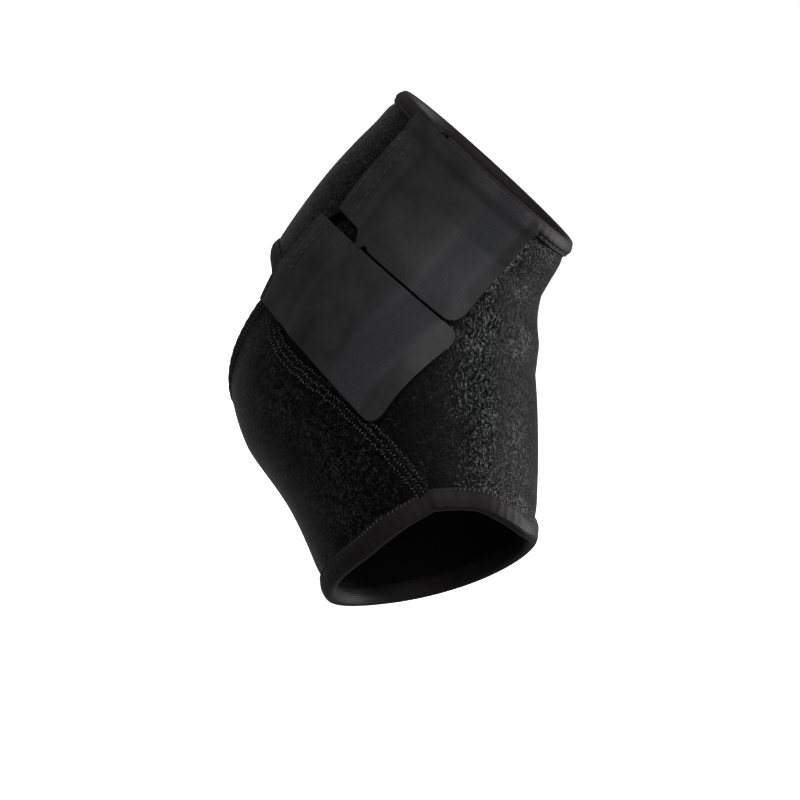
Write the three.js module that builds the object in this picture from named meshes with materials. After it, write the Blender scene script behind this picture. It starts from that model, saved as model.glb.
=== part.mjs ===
// Open-heel neoprene ankle brace for a right foot, closed by two broad tabs on the outer side.
// Millimetres and degrees. +Z runs up the leg and out of the top rim, +X points toward the toes and
// +Y to the inner side of the foot. The origin is the centre of the ankle, on the leg's line.
// A point on the brace is given by its distance along the spine, from the top rim through the ankle
// to the foot rim, and by its angle around it: 0 in front, 90 inner side, 180 back and sole,
// -90 outer side.
import * as THREE from "three";

// The spine: the line through the middle of leg, ankle and foot
const LEG_RISE = 54;
const STRAIGHT_LEG = 22;
const BEND_LENGTH = 84;
const FOOT_DROP_DEG = 60;
const FOOT_TURN_DEG = 9;
const SPINE_LENGTH = 168;

// The outside of the wrap around the spine
const HALF_WIDTH = 46;
const FRONT_DEPTH = 50;
const BACK_DEPTH = 50;
const FOOT_ROLL_DEG = 30;

// Each row holds shares: `at` of the spine's length, then of the four sizes above.
const SECTIONS = [
  { at: 0.0, width: 0.92, front: 0.9, back: 0.9, roll: 0 },
  { at: 0.2, width: 0.98, front: 1.08, back: 0.93, roll: 0 },
  { at: 0.4, width: 1.08, front: 1.18, back: 1.15, roll: 0 },
  { at: 0.52, width: 1.11, front: 1.16, back: 1.28, roll: 0.14 },
  { at: 0.64, width: 1.1, front: 1.11, back: 1.18, roll: 0.34 },
  { at: 0.8, width: 1.07, front: 1.0, back: 0.97, roll: 0.6 },
  { at: 1.0, width: 1.0, front: 0.82, back: 0.84, roll: 1 },
];

// The foot rim, drawn up at the outer side and longest over the instep and under the sole. `at` is
// a share of the way round from the seam, and `reach` how far it goes past the spine's end.
const FOOT_RIM_LINE = [
  { at: 0, reach: -4.5 },
  { at: 0.1, reach: -2.5 },
  { at: 0.19, reach: 1.5 },
  { at: 0.25, reach: 4.5 },
  { at: 0.33, reach: 1.5 },
  { at: 0.45, reach: 0 },
  { at: 0.65, reach: 1 },
  { at: 0.83, reach: 5.5 },
  { at: 0.9, reach: 4.5 },
  { at: 0.95, reach: -0.5 },
  { at: 1, reach: -4.5 },
];

// The heel opening, an oval around the back of the heel; its lower edge runs back to the sole
const HEEL_AT = 70.5;
const HEEL_RISE = 13.5;
const HEEL_DROP = 22;
const HEEL_HALF_ANGLE = 60;
const HEEL_END_ROUNDNESS = 0.3;

// The line of the closure, from the top rim down to the heel opening, and of the side seam, from
// there to the foot rim. `at` is a share of each and `lean` an angle from the opening's outer end.
const CLOSURE_LINE = [
  { at: 0, lean: 39 },
  { at: 0.5, lean: 36 },
  { at: 0.75, lean: 18 },
  { at: 1, lean: 0 },
];
const SEAM_LINE = [
  { at: 0, lean: 0 },
  { at: 0.2, lean: 6 },
  { at: 0.4, lean: 15.5 },
  { at: 0.7, lean: 25 },
  { at: 1, lean: 31 },
];
const LEAN_FADE_DEG = 90;

// Materials' thicknesses and clearances
const WALL = 3.2;
const CLOSURE_GAP = 4;
const SEAM_GAP = 0.4;
const CLEARANCE = 0.5;
const TAPE = 0.8;
const TAPE_SIDE = 2 * TAPE;
const TAPE_REACH = 5;
const TAB_THICKNESS = 1.8;
const TAB_LIFT = 0.6;
const TAB_RISE_NEAR = 7.5;
const TAB_RISE_FAR = 15;
const SEAM_WIDTH = 6;
const SEAM_HEIGHT = 0.8;
const SEAM_START = 11;

// The closing tabs: the two ends of the sewn root, and how far the edges fall per millimetre of run
const TAB_CORNER = 6;
const UPPER_TAB = {
  length: 67,
  top: { s: 5.8, angle: -100, fall: 0 },
  bottom: { s: 44, angle: -97, fall: 0.03 },
};
const LOWER_TAB = {
  length: 78,
  top: { s: 47.5, angle: -105, fall: -0.03 },
  bottom: { s: 75, angle: -120, fall: 0.05 },
};

// Fineness of the meshes
const FRONT_COLUMNS = 28;
const HEEL_COLUMNS = 26;
const LEG_ROWS = 16;
const FOOT_ROWS = 10;
const TAB_LENGTH_STEPS = 20;
const TAB_WIDTH_STEPS = 8;
const TAB_STEP_POWER = 1.4;
const SEAM_STEPS = 14;
const SPINE_STEP = 1;
const SPINE_MARGIN = 40;
const PROBE = 0.25;

const { clamp, degToRad, lerp, smoothstep } = THREE.MathUtils;

/** Reads a column of a table at a share of the spine, as a smooth curve through its rows. */
function follow(table, column, share) {
  const last = table.length - 2;
  const row = clamp(table.findIndex((entry) => entry.at > share) - 1, 0, last);
  const i = share >= table[last + 1].at ? last : row;
  const slope = (k) => {
    const a = table[Math.max(k - 1, 0)];
    const b = table[Math.min(k + 1, last + 1)];
    return (b[column] - a[column]) / (b.at - a.at);
  };
  const [from, to] = [table[i], table[i + 1]];
  const span = to.at - from.at;
  const u = clamp((share - from.at) / span, 0, 1);
  const v = 1 - u;
  return (
    (1 + 2 * u) * v * v * from[column] +
    u * v * v * span * slope(i) +
    u * u * (3 - 2 * u) * to[column] -
    u * u * v * span * slope(i + 1)
  );
}

/** Share of the whole bend that lies behind a distance along the spine. */
function bendShare(s) {
  return clamp((s - STRAIGHT_LEG) / BEND_LENGTH, 0, 1);
}

/** Unit direction of the spine, from the leg to the toes. */
function spineDirection(s) {
  const drop = degToRad(FOOT_DROP_DEG) * bendShare(s);
  const turn = degToRad(FOOT_TURN_DEG) * bendShare(s);
  return new THREE.Vector3(
    Math.cos(turn) * Math.sin(drop),
    Math.sin(turn),
    -Math.cos(turn) * Math.cos(drop),
  );
}

/** Centres of the spine, one each SPINE_STEP from SPINE_MARGIN before the top rim. */
function traceSpine() {
  const centres = [new THREE.Vector3(0, 0, LEG_RISE + SPINE_MARGIN)];
  for (let s = -SPINE_MARGIN; s < SPINE_LENGTH + SPINE_MARGIN; s += SPINE_STEP) {
    const step = spineDirection(s + SPINE_STEP / 2).multiplyScalar(SPINE_STEP);
    centres.push(centres.at(-1).clone().add(step));
  }
  return centres;
}

const SPINE = traceSpine();

/** Centre of the spine at a distance along it. */
function spineCentre(s) {
  const place = (s + SPINE_MARGIN) / SPINE_STEP;
  const i = clamp(Math.floor(place), 0, SPINE.length - 2);
  return new THREE.Vector3().lerpVectors(SPINE[i], SPINE[i + 1], place - i);
}

/** Point on the outside of the wrap. */
function surface(s, angle) {
  const share = s / SPINE_LENGTH;
  const around = degToRad(angle);
  const depth = Math.cos(around) >= 0
    ? FRONT_DEPTH * follow(SECTIONS, "front", share)
    : BACK_DEPTH * follow(SECTIONS, "back", share);
  const forward = depth * Math.cos(around);
  const inward = HALF_WIDTH * follow(SECTIONS, "width", share) * Math.sin(around);
  const roll = degToRad(FOOT_ROLL_DEG) * follow(SECTIONS, "roll", share);
  const drop = degToRad(FOOT_DROP_DEG) * bendShare(s);
  const turn = degToRad(FOOT_TURN_DEG) * bendShare(s);
  const dorsal = new THREE.Vector3(Math.cos(drop), 0, Math.sin(drop));
  const medial = new THREE.Vector3(
    -Math.sin(turn) * Math.sin(drop),
    Math.cos(turn),
    Math.sin(turn) * Math.cos(drop),
  );
  return spineCentre(s)
    .addScaledVector(dorsal, forward * Math.cos(roll) - inward * Math.sin(roll))
    .addScaledVector(medial, forward * Math.sin(roll) + inward * Math.cos(roll));
}

/** The two tangents of the outside, per millimetre of spine and per degree, and its normal. */
function tangents(s, angle) {
  const along = surface(s + PROBE, angle).sub(surface(s - PROBE, angle)).divideScalar(2 * PROBE);
  const around = surface(s, angle + PROBE).sub(surface(s, angle - PROBE)).divideScalar(2 * PROBE);
  const normal = new THREE.Vector3().crossVectors(along, around).normalize();
  return { along, around, normal };
}

/** Point at a height above the outside of the wrap, or below it when negative. */
function skin(s, angle, height) {
  return surface(s, angle).addScaledVector(tangents(s, angle).normal, height);
}

/** The spot reached from another by a short vector lying in the surface. */
function moved(spot, move) {
  const { along, around } = tangents(spot.s, spot.angle);
  const [a, b, c] = [along.dot(along), along.dot(around), around.dot(around)];
  const [p, q] = [move.dot(along), move.dot(around)];
  const det = a * c - b * b;
  return { s: spot.s + (c * p - b * q) / det, angle: spot.angle + (a * q - b * p) / det };
}

// Columns run around the brace from the closure, over the front and inner side, behind the heel and
// back. Across the heel opening they bunch toward its two ends, as points on an oval do.
const OUTER_END = HEEL_HALF_ANGLE - 180;
const INNER_END = 180 - HEEL_HALF_ANGLE;
const GAP_HALF_ANGLE = THREE.MathUtils.radToDeg(CLOSURE_GAP / 2 / HALF_WIDTH);
const SEAM_ANGLE = THREE.MathUtils.radToDeg(SEAM_GAP / HALF_WIDTH);
const FIRST_ANGLE = OUTER_END + GAP_HALF_ANGLE;

/** Angle around the heel opening's oval, 0 at its outer end and PI at its inner end. */
function ovalAngle(angle) {
  return Math.acos(clamp((angle - 180) / HEEL_HALF_ANGLE, -1, 1));
}

/** Base angles of the columns, from the closure's front edge to its back edge. */
function columnAngles() {
  const angles = [];
  for (let i = 0; i <= FRONT_COLUMNS; i += 1) {
    angles.push(lerp(FIRST_ANGLE, INNER_END, i / FRONT_COLUMNS));
  }
  const lastOval = ovalAngle(360 + OUTER_END - GAP_HALF_ANGLE);
  for (let i = 1; i <= HEEL_COLUMNS; i += 1) {
    angles.push(180 + HEEL_HALF_ANGLE * Math.cos(lerp(Math.PI, lastOval, i / HEEL_COLUMNS)));
  }
  return angles;
}

const COLUMNS = columnAngles();
const SEAM_COLUMN = 360 + FIRST_ANGLE - SEAM_ANGLE;

/** Distance along the spine of the heel opening's upper edge, or of its level in front. */
function upperHeelEdge(column) {
  return HEEL_AT - HEEL_RISE * Math.sin(ovalAngle(column));
}

/** Distance along the spine of the heel opening's lower edge, or of its level in front. */
function lowerHeelEdge(column) {
  const rise = Math.sin(ovalAngle(column));
  return HEEL_AT + HEEL_DROP * (HEEL_END_ROUNDNESS * rise + (1 - HEEL_END_ROUNDNESS) * rise ** 3);
}

/** Distance along the spine of the foot rim. */
function footRim(column) {
  return SPINE_LENGTH + follow(FOOT_RIM_LINE, "reach", (column - FIRST_ANGLE) / 360);
}

/** Angle of a column that leans with a line at a share of its run. */
function leaning(column, line, share) {
  const distance = Math.min(Math.abs(column - FIRST_ANGLE), Math.abs(column - 360 - FIRST_ANGLE));
  return column + (1 - smoothstep(distance, 0, LEAN_FADE_DEG)) * follow(line, "lean", share);
}

/** Spot on the leg part, at a share of the way from the top rim to the heel opening's level. */
function legSpot(column, share) {
  return { s: share * upperHeelEdge(column), angle: leaning(column, CLOSURE_LINE, share) };
}

/** Spot on the foot part, at a share of the way from the heel opening's level to the foot rim. */
function footSpot(column, share) {
  const s = lerp(lowerHeelEdge(column), footRim(column), share);
  return { s, angle: leaning(column, SEAM_LINE, share) };
}

/** Builds a closed body from points and faces of three or four corners, listed facing out. */
function closedBody(points, faces) {
  const geometry = new THREE.BufferGeometry();
  const numbers = points.flatMap((point) => point.toArray());
  geometry.setAttribute("position", new THREE.Float32BufferAttribute(numbers, 3));
  const fan = (face) => face.slice(2).flatMap((corner, i) => [face[0], face[i + 1], corner]);
  geometry.setIndex(faces.flatMap(fan));
  geometry.computeVertexNormals();
  return geometry;
}

/** Gives a patch of surface cells a copy below it and walls along every open edge. */
function thickened(spots, cells, underside, thickness) {
  const count = spots.length;
  const layer = (rise) => spots.map((spot) => skin(spot.s, spot.angle, underside(spot) + rise));
  const points = [...layer(thickness), ...layer(0)];
  const faces = cells.concat(cells.map((cell) => cell.map((id) => id + count).reverse()));
  const edges = new Set(cells.flatMap((cell) => cell.map((id, i) => `${id},${cell[(i + 1) % 4]}`)));
  for (const edge of edges) {
    const [from, to] = edge.split(",").map(Number);
    if (!edges.has(`${to},${from}`)) faces.push([to, from, from + count, to + count]);
  }
  return closedBody(points, faces);
}

/** Sweeps a counter-clockwise outline of [inset, height] points along spots on the surface. */
function sweptOutline(spots, outline, inwardSign, closed) {
  const rings = spots.map((spot, i) => {
    const before = spots[closed ? (i + spots.length - 1) % spots.length : Math.max(i - 1, 0)];
    const after = spots[closed ? (i + 1) % spots.length : Math.min(i + 1, spots.length - 1)];
    const tangent = surface(after.s, after.angle).sub(surface(before.s, before.angle)).normalize();
    const { normal } = tangents(spot.s, spot.angle);
    const inward = new THREE.Vector3().crossVectors(normal, tangent).multiplyScalar(inwardSign);
    return outline.map(([inset, height]) => {
      const beside = moved(spot, inward.clone().multiplyScalar(inset));
      return skin(beside.s, beside.angle, height);
    });
  });
  const sides = outline.length;
  const faces = [];
  const links = closed ? rings.length : rings.length - 1;
  for (let i = 0; i < links; i += 1) {
    const [here, there] = [i * sides, ((i + 1) % rings.length) * sides];
    for (let k = 0; k < sides; k += 1) {
      const next = (k + 1) % sides;
      faces.push([here + k, here + next, there + next, there + k]);
    }
  }
  if (!closed) {
    const end = (rings.length - 1) * sides;
    const flat = outline.map((point) => new THREE.Vector2(...point));
    for (const [a, b, c] of THREE.ShapeUtils.triangulateShape(flat, [])) {
      faces.push([c, b, a], [end + a, end + b, end + c]);
    }
  }
  return facingOut(closedBody(rings.flat(), faces));
}

/** Turns every face over when a body's volume comes out negative. */
function facingOut(geometry) {
  const position = geometry.getAttribute("position");
  const index = geometry.getIndex().array;
  const [a, b, c] = [new THREE.Vector3(), new THREE.Vector3(), new THREE.Vector3()];
  let volume = 0;
  for (let i = 0; i < index.length; i += 3) {
    a.fromBufferAttribute(position, index[i]);
    b.fromBufferAttribute(position, index[i + 1]);
    c.fromBufferAttribute(position, index[i + 2]);
    volume += a.dot(b.cross(c));
  }
  if (volume < 0) {
    for (let i = 0; i < index.length; i += 3) {
      [index[i + 1], index[i + 2]] = [index[i + 2], index[i + 1]];
    }
    geometry.computeVertexNormals();
  }
  return geometry;
}

/** One sheet of neoprene: leg part split at the closure, foot part cut where the side seam joins it. */
function wrapGeometry() {
  const spots = [];
  const cells = [];
  const grid = (columns, rows, place, firstRow) => {
    const ids = columns.map((column, i) =>
      Array.from({ length: rows + 1 }, (_, row) => {
        if (row === 0 && firstRow[i] !== undefined) return firstRow[i];
        spots.push(place(column, row / rows));
        return spots.length - 1;
      }),
    );
    for (let i = 0; i + 1 < ids.length; i += 1) {
      for (let row = 0; row < rows; row += 1) {
        cells.push([ids[i][row], ids[i][row + 1], ids[i + 1][row + 1], ids[i + 1][row]]);
      }
    }
    return ids;
  };
  const leg = grid(COLUMNS, LEG_ROWS, legSpot, []);
  const joined = leg.slice(0, FRONT_COLUMNS + 1).map((ids) => ids[LEG_ROWS]);
  grid([...COLUMNS, SEAM_COLUMN], FOOT_ROWS, footSpot, joined);
  return facingOut(thickened(spots, cells, () => -WALL, WALL));
}

/** Outline of a tape folded over the wrap's edge, open toward the panel, counter-clockwise. */
const TAPE_OUTLINE = [
  [TAPE_REACH, CLEARANCE + TAPE],
  [0, CLEARANCE + TAPE],
  [-CLEARANCE - TAPE, CLEARANCE - TAPE],
  [-CLEARANCE - TAPE, -WALL - CLEARANCE + TAPE],
  [0, -WALL - CLEARANCE - TAPE],
  [TAPE_REACH, -WALL - CLEARANCE - TAPE],
  [TAPE_REACH, -WALL - CLEARANCE],
  [-CLEARANCE, -WALL - CLEARANCE],
  [-CLEARANCE, CLEARANCE],
  [TAPE_REACH, CLEARANCE],
];

/** Tape around the top rim, open at the closure. */
function topBindingGeometry() {
  return sweptOutline(COLUMNS.map((column) => legSpot(column, 0)), TAPE_OUTLINE, -1, false);
}

/** Tape around the heel opening, from the closure's back edge to the side seam. */
function heelBindingGeometry() {
  const heel = COLUMNS.slice(FRONT_COLUMNS);
  const upper = heel.map((column) => legSpot(column, 1)).reverse();
  const lower = [...heel.slice(1), SEAM_COLUMN].map((column) => footSpot(column, 0));
  return sweptOutline([...upper, ...lower], TAPE_OUTLINE, -1, false);
}

/** Closed ring of tape around the foot rim. */
function footBindingGeometry() {
  return sweptOutline(COLUMNS.map((column) => footSpot(column, 1)), TAPE_OUTLINE, 1, true);
}

/** Raised flat seam on the outer side, between the heel binding and the foot binding. */
function sideSeamGeometry() {
  const middle = FIRST_ANGLE - SEAM_ANGLE / 2;
  const half = SEAM_WIDTH / 2;
  const run = footRim(middle) - HEEL_AT;
  const start = SEAM_START / run;
  const end = 1 - (TAPE_REACH + TAPE_SIDE) / run;
  const spots = Array.from({ length: SEAM_STEPS + 1 }, (_, i) => {
    const share = lerp(start, end, i / SEAM_STEPS);
    return { s: lerp(HEEL_AT, footRim(middle), share), angle: leaning(middle, SEAM_LINE, share) };
  });
  const crown = CLEARANCE + SEAM_HEIGHT;
  const outline = [
    [-half, CLEARANCE],
    [half, CLEARANCE],
    [half - SEAM_HEIGHT, crown],
    [-half + SEAM_HEIGHT, crown],
  ];
  return sweptOutline(spots, outline, 1, false);
}

/** Height of a tab's underside: it rides up over the ends of the heel binding. */
function tabLift(spot) {
  const corner = surface(HEEL_AT, OUTER_END);
  const distance = surface(spot.s, spot.angle).distanceTo(corner);
  const near = 1 - smoothstep(distance, TAB_RISE_NEAR, TAB_RISE_FAR);
  return TAB_LIFT + near * (TAPE + CLEARANCE);
}

/** Direction in the surface that runs level around the leg toward the front, falling a little. */
function levelRun(spot, fall) {
  const { normal } = tangents(spot.s, spot.angle);
  const level = new THREE.Vector3(0, 0, 1).cross(normal).normalize();
  const down = new THREE.Vector3().crossVectors(level, normal);
  return level.addScaledVector(down, fall).normalize();
}

/** Spots along one line of a tab, from its sewn root for a given run. */
function tabLine(tab, across, steps) {
  const fall = lerp(tab.top.fall, tab.bottom.fall, across);
  const root = {
    s: lerp(tab.top.s, tab.bottom.s, across),
    angle: lerp(tab.top.angle, tab.bottom.angle, across),
  };
  const spots = [root];
  for (const step of steps) {
    const here = spots.at(-1);
    const half = moved(here, levelRun(here, fall).multiplyScalar(step / 2));
    spots.push(moved(here, levelRun(half, fall).multiplyScalar(step)));
  }
  return spots;
}

/** A closing tab laid over the wrap, with round corners at its free end. */
function tabGeometry(tab) {
  const topEnd = surface(tab.top.s, tab.top.angle);
  const width = topEnd.distanceTo(surface(tab.bottom.s, tab.bottom.angle));
  const runs = Array.from({ length: TAB_LENGTH_STEPS + 1 }, (_, i) => {
    return tab.length * (1 - (1 - i / TAB_LENGTH_STEPS) ** TAB_STEP_POWER);
  });
  const steps = runs.slice(1).map((run, i) => run - runs[i]);
  const lines = Array.from({ length: TAB_WIDTH_STEPS + 1 }, (_, k) => k / TAB_WIDTH_STEPS);
  const spots = [];
  const cells = [];
  runs.forEach((run, i) => {
    const left = Math.min(tab.length - run, TAB_CORNER);
    const trim = (TAB_CORNER - Math.sqrt(TAB_CORNER ** 2 - (TAB_CORNER - left) ** 2)) / width;
    lines.forEach((line, k) => {
      spots.push(tabLine(tab, lerp(trim, 1 - trim, line), steps.slice(0, i)).at(-1));
      if (i > 0 && k > 0) {
        const id = spots.length - 1;
        const back = id - lines.length;
        cells.push([back - 1, back, id, id - 1]);
      }
    });
  });
  return facingOut(thickened(spots, cells, tabLift, TAB_THICKNESS));
}

const COLOURS = {
  neoprene: { color: "#26262a", roughness: 0.95 },
  tape: { color: "#4a4648", roughness: 0.75 },
  tab: { color: "#3c3c40", roughness: 0.6 },
};

/** Adds one named piece to the brace. */
function addPiece(brace, name, geometry, look) {
  const piece = new THREE.Mesh(geometry, new THREE.MeshStandardMaterial({ ...look, metalness: 0 }));
  piece.name = name;
  brace.add(piece);
}

const brace = new THREE.Group();
addPiece(brace, "neoprene_wrap", wrapGeometry(), COLOURS.neoprene);
addPiece(brace, "side_seam", sideSeamGeometry(), COLOURS.neoprene);
addPiece(brace, "top_binding", topBindingGeometry(), COLOURS.tape);
addPiece(brace, "heel_binding", heelBindingGeometry(), COLOURS.tape);
addPiece(brace, "foot_binding", footBindingGeometry(), COLOURS.tape);
addPiece(brace, "upper_tab", tabGeometry(UPPER_TAB), COLOURS.tab);
addPiece(brace, "lower_tab", tabGeometry(LOWER_TAB), COLOURS.tab);

export default brace;
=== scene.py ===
"""Open-heel neoprene ankle brace: cloth, tapes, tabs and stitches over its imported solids.

Lengths are millimetres and angles are degrees until a mesh is made, which is in metres. A spot on
the brace is its distance along the spine, from the top rim through the bend to the foot rim, and
its angle around it: 0 in front, 90 inner side, 180 back and sole, -90 outer side.
"""

from __future__ import annotations

import logging
import math
from collections.abc import Callable
from dataclasses import dataclass
from enum import Enum
from functools import cached_property

import bpy
import numpy as np
from mathutils import Matrix, Vector, noise

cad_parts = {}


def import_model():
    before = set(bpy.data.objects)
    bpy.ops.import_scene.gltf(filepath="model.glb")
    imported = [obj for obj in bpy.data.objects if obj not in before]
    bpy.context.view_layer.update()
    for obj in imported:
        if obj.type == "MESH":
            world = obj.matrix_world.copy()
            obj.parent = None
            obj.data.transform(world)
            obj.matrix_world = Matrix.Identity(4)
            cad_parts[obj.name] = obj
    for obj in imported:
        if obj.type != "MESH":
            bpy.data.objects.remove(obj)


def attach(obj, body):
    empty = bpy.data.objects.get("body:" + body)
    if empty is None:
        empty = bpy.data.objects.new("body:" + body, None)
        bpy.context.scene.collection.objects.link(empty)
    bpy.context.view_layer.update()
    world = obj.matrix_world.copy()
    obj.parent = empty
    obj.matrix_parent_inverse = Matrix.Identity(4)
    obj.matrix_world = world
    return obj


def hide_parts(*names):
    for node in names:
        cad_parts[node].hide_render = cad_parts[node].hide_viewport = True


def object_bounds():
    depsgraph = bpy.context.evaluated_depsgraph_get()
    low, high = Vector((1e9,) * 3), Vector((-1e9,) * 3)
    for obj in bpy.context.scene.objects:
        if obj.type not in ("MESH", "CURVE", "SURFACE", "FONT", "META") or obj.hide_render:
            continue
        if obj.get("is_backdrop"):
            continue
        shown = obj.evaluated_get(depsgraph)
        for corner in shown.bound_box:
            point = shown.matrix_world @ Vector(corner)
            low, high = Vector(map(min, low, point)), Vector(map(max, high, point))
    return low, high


Array = np.ndarray
Piece = bpy.types.Object
Material = bpy.types.Material
Tree = bpy.types.NodeTree
Socket = bpy.types.NodeSocket
Pair = tuple[Array, Array]

LOG = logging.getLogger("ankle_brace")
MM = 0.001
BODY = "root"
# A wave texture of scale 1 repeats at this length
WAVE_LENGTH = math.pi / 10

def smooth_curve(at: tuple[float, ...], values: tuple[float, ...], share: Array) -> Array:
    """Reads a smooth curve through the rows of a short table.

    Args:
        at: Places of the rows, rising.
        values: The curve's value at each row.
        share: Places to read.

    Returns:
        The values at those places.
    """
    places, rows = np.array(at), np.array(values)
    slopes = np.empty_like(rows)
    slopes[1:-1] = (rows[2:] - rows[:-2]) / (places[2:] - places[:-2])
    slopes[0] = (rows[1] - rows[0]) / (places[1] - places[0])
    slopes[-1] = (rows[-1] - rows[-2]) / (places[-1] - places[-2])
    i = np.clip(np.searchsorted(places, share, side="right") - 1, 0, len(places) - 2)
    span = places[i + 1] - places[i]
    u = np.clip((share - places[i]) / span, 0, 1)
    v = 1 - u
    return (
        (1 + 2 * u) * v**2 * rows[i]
        + u * v**2 * span * slopes[i]
        + u**2 * (3 - 2 * u) * rows[i + 1]
        - u**2 * v * span * slopes[i + 1]
    )


def smooth_step(value: Array, low: float, high: float) -> Array:
    """Rises smoothly from 0 at `low` to 1 at `high`."""
    share = np.clip((value - low) / (high - low), 0, 1)
    return share * share * (3 - 2 * share)


def hump(value: Array, centre: float, reach: float) -> Array:
    """A smooth bump of height 1 at `centre` that fades over `reach`."""
    return np.exp(-(((value - centre) / reach) ** 2))


@dataclass(frozen=True)
class AnkleForm:
    """The outside of the brace: half ellipses along a spine that bends halfway down."""

    leg_rise: float = 54.0
    straight_leg: float = 22.0
    bend_length: float = 84.0
    foot_drop: float = 60.0
    foot_turn: float = 9.0
    spine_length: float = 168.0
    half_width: float = 46.0
    front_depth: float = 50.0
    back_depth: float = 50.0
    foot_roll: float = 30.0
    at: tuple[float, ...] = (0.0, 0.2, 0.4, 0.52, 0.64, 0.8, 1.0)
    width: tuple[float, ...] = (0.92, 0.98, 1.08, 1.11, 1.1, 1.07, 1.0)
    front: tuple[float, ...] = (0.9, 1.08, 1.18, 1.16, 1.11, 1.0, 0.82)
    back: tuple[float, ...] = (0.9, 0.93, 1.15, 1.28, 1.18, 0.97, 0.84)
    roll: tuple[float, ...] = (0.0, 0.0, 0.0, 0.14, 0.34, 0.6, 1.0)
    margin: float = 40.0
    probe: float = 0.25

    def headings(self, s: Array) -> Pair:
        """How far the spine has dropped and turned at distances along it, in radians."""
        bend = np.clip((s - self.straight_leg) / self.bend_length, 0, 1)
        return np.radians(self.foot_drop) * bend, np.radians(self.foot_turn) * bend

    @cached_property
    def spine(self) -> Pair:
        """Distances along the spine, 1 mm apart, and its centre at each."""
        s = np.arange(-self.margin, self.spine_length + self.margin)
        drop, turn = self.headings(s + 0.5)
        steps = np.stack(
            [np.cos(turn) * np.sin(drop), np.sin(turn), -np.cos(turn) * np.cos(drop)], axis=-1
        )
        start = np.array([[0.0, 0.0, self.leg_rise + self.margin]])
        return np.append(s, s[-1] + 1), np.vstack([start, start + np.cumsum(steps, axis=0)])

    def surface(self, s: Array, angle: Array) -> Array:
        """Points on the outside of the wrap.

        Args:
            s: Distances along the spine.
            angle: Angles around it.

        Returns:
            The points, with x, y, z on the last axis.
        """
        s, angle = np.broadcast_arrays(np.asarray(s, float), np.asarray(angle, float))
        share, around = s / self.spine_length, np.radians(angle)
        depth = np.where(
            np.cos(around) >= 0,
            self.front_depth * smooth_curve(self.at, self.front, share),
            self.back_depth * smooth_curve(self.at, self.back, share),
        )
        forward = depth * np.cos(around)
        inward = self.half_width * smooth_curve(self.at, self.width, share) * np.sin(around)
        roll = np.radians(self.foot_roll) * smooth_curve(self.at, self.roll, share)
        drop, turn = self.headings(s)
        dorsal = np.stack([np.cos(drop), np.zeros_like(drop), np.sin(drop)], axis=-1)
        medial = np.stack(
            [-np.sin(turn) * np.sin(drop), np.cos(turn), np.sin(turn) * np.cos(drop)], axis=-1
        )
        along_dorsal = (forward * np.cos(roll) - inward * np.sin(roll))[..., None]
        along_medial = (forward * np.sin(roll) + inward * np.cos(roll))[..., None]
        places, centres = self.spine
        centre = np.stack([np.interp(s, places, centres[:, k]) for k in range(3)], axis=-1)
        return centre + dorsal * along_dorsal + medial * along_medial

    def tangents(self, s: Array, angle: Array) -> tuple[Array, ...]:
        """Tangent per millimetre of spine, tangent per degree, and the outward normal."""
        reach = self.probe
        along = (self.surface(s + reach, angle) - self.surface(s - reach, angle)) / (2 * reach)
        around = (self.surface(s, angle + reach) - self.surface(s, angle - reach)) / (2 * reach)
        normal = np.cross(along, around)
        return along, around, normal / np.linalg.norm(normal, axis=-1, keepdims=True)

    def skin(self, s: Array, angle: Array, height: Array) -> Array:
        """Points at a height above the outside of the wrap, or below it when negative."""
        return self.surface(s, angle) + self.tangents(s, angle)[2] * np.asarray(height)[..., None]

    def moved(self, s: Array, angle: Array, move: Array) -> Pair:
        """Spots reached from others by short vectors that lie in the surface."""
        along, around, _ = self.tangents(s, angle)
        a, b, c = ((m * n).sum(-1) for m, n in ((along, along), (along, around), (around, around)))
        p, q = (move * along).sum(-1), (move * around).sum(-1)
        spread = a * c - b * b
        return s + (c * p - b * q) / spread, angle + (a * q - b * p) / spread


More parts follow.
